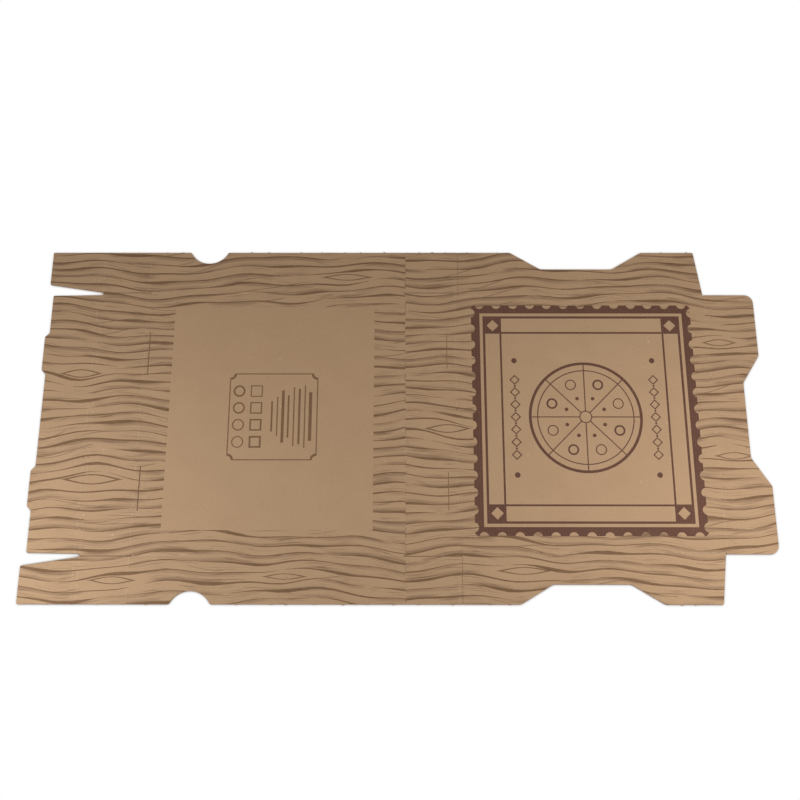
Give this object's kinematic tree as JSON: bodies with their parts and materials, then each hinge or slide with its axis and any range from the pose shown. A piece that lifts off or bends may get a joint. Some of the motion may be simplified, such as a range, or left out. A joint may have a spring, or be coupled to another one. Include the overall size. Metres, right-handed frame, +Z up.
{
  "type": "pizza box blank",
  "caption": "Flat die-cut blank of a pizza box in thin corrugated board, printed with wood grain; its walls, ears, roll-over front and lid fold down along creases to close the box.",
  "frame": {"origin": "middle of the flat blank's bounding box, on its underside", "axes": "+X from the roll-over front to the tuck flap of the lid, +Y to the left side as seen by someone who stands at the front, +Z up out of the printed face"},
  "size_m": [0.7946, 0.392, 0.0016],
  "materials": {
    "kraft_board": "uncoated brown kraft liner, faint flute lines along the width",
    "grain_ink": "thin brown flexo ink, matt, slightly broken",
    "stamp_ink": "dark red-brown flexo ink, matt, mottled"
  },
  "bodies": {
    "base": {"base": "kraft_board", "base_grain": "grain_ink", "base_label": "grain_ink"},
    "front_wall": {"front_wall": "kraft_board", "front_wall_grain": "grain_ink"},
    "front_ridge": {"front_ridge": "kraft_board", "front_ridge_grain": "grain_ink"},
    "front_inner_flap": {"front_inner_flap": "kraft_board", "front_inner_flap_grain": "grain_ink"},
    "back_wall": {"back_wall": "kraft_board", "back_wall_grain": "grain_ink"},
    "lid": {"lid": "kraft_board", "lid_grain": "grain_ink", "lid_stamp": "stamp_ink"},
    "lid_front_flap": {"lid_front_flap": "kraft_board", "lid_front_flap_grain": "grain_ink"},
    "side_wall_left": {"side_wall_left": "kraft_board", "side_wall_left_grain": "grain_ink"},
    "side_wall_right": {"side_wall_right": "kraft_board", "side_wall_right_grain": "grain_ink"},
    "front_ear_left": {"front_ear_left": "kraft_board", "front_ear_left_grain": "grain_ink"},
    "front_ear_right": {"front_ear_right": "kraft_board", "front_ear_right_grain": "grain_ink"},
    "back_ear_left": {"back_ear_left": "kraft_board", "back_ear_left_grain": "grain_ink"},
    "back_ear_right": {"back_ear_right": "kraft_board", "back_ear_right_grain": "grain_ink"},
    "lid_side_flap_left": {"lid_side_flap_left": "kraft_board", "lid_side_flap_left_grain": "grain_ink"},
    "lid_side_flap_right": {"lid_side_flap_right": "kraft_board", "lid_side_flap_right_grain": "grain_ink"}
  },
  "joints": [
    {"name": "front_wall_fold", "type": "hinge", "parent": "base", "child": "front_wall", "pos_m": [-0.28442, 0, 0.0012], "axis": [0, -1, 0], "range_deg": [0, 90]},
    {"name": "front_ridge_fold", "type": "hinge", "parent": "front_wall", "child": "front_ridge", "pos_m": [-0.33653, 0, 0.0012], "axis": [0, -1, 0], "range_deg": [0, 90]},
    {"name": "front_inner_flap_fold", "type": "hinge", "parent": "front_ridge", "child": "front_inner_flap", "pos_m": [-0.34173, 0, 0.0012], "axis": [0, -1, 0], "range_deg": [0, 90]},
    {"name": "back_wall_fold", "type": "hinge", "parent": "base", "child": "back_wall", "pos_m": [0.00558, 0, 0.0012], "axis": [0, 1, 0], "range_deg": [0, 90]},
    {"name": "lid_fold", "type": "hinge", "parent": "back_wall", "child": "lid", "pos_m": [0.06157, 0, 0.0012], "axis": [0, 1, 0], "range_deg": [0, 90]},
    {"name": "lid_front_flap_fold", "type": "hinge", "parent": "lid", "child": "lid_front_flap", "pos_m": [0.34277, 0, 0.0012], "axis": [0, 1, 0], "range_deg": [0, 90]},
    {"name": "lid_side_flap_left_fold", "type": "hinge", "parent": "lid", "child": "lid_side_flap_left", "pos_m": [0.20217, 0.143, 0.0012], "axis": [-1, 0, 0], "range_deg": [0, 90]},
    {"name": "lid_side_flap_right_fold", "type": "hinge", "parent": "lid", "child": "lid_side_flap_right", "pos_m": [0.20217, -0.143, 0.0012], "axis": [1, 0, 0], "range_deg": [0, 90]},
    {"name": "side_wall_left_fold", "type": "hinge", "parent": "base", "child": "side_wall_left", "pos_m": [-0.13942, 0.146, 0.0012], "axis": [-1, 0, 0], "range_deg": [0, 90]},
    {"name": "side_wall_right_fold", "type": "hinge", "parent": "base", "child": "side_wall_right", "pos_m": [-0.13942, -0.146, 0.0012], "axis": [1, 0, 0], "range_deg": [0, 90]},
    {"name": "front_ear_left_fold", "type": "hinge", "parent": "side_wall_left", "child": "front_ear_left", "pos_m": [-0.28227, 0.171, 0.0012], "axis": [0, -1, 0], "range_deg": [0, 90]},
    {"name": "front_ear_right_fold", "type": "hinge", "parent": "side_wall_right", "child": "front_ear_right", "pos_m": [-0.28227, -0.171, 0.0012], "axis": [0, -1, 0], "range_deg": [0, 90]},
    {"name": "back_ear_left_fold", "type": "hinge", "parent": "side_wall_left", "child": "back_ear_left", "pos_m": [0.00343, 0.171, 0.0012], "axis": [0, 1, 0], "range_deg": [0, 90]},
    {"name": "back_ear_right_fold", "type": "hinge", "parent": "side_wall_right", "child": "back_ear_right", "pos_m": [0.00343, -0.171, 0.0012], "axis": [0, 1, 0], "range_deg": [0, 90]}
  ]
}
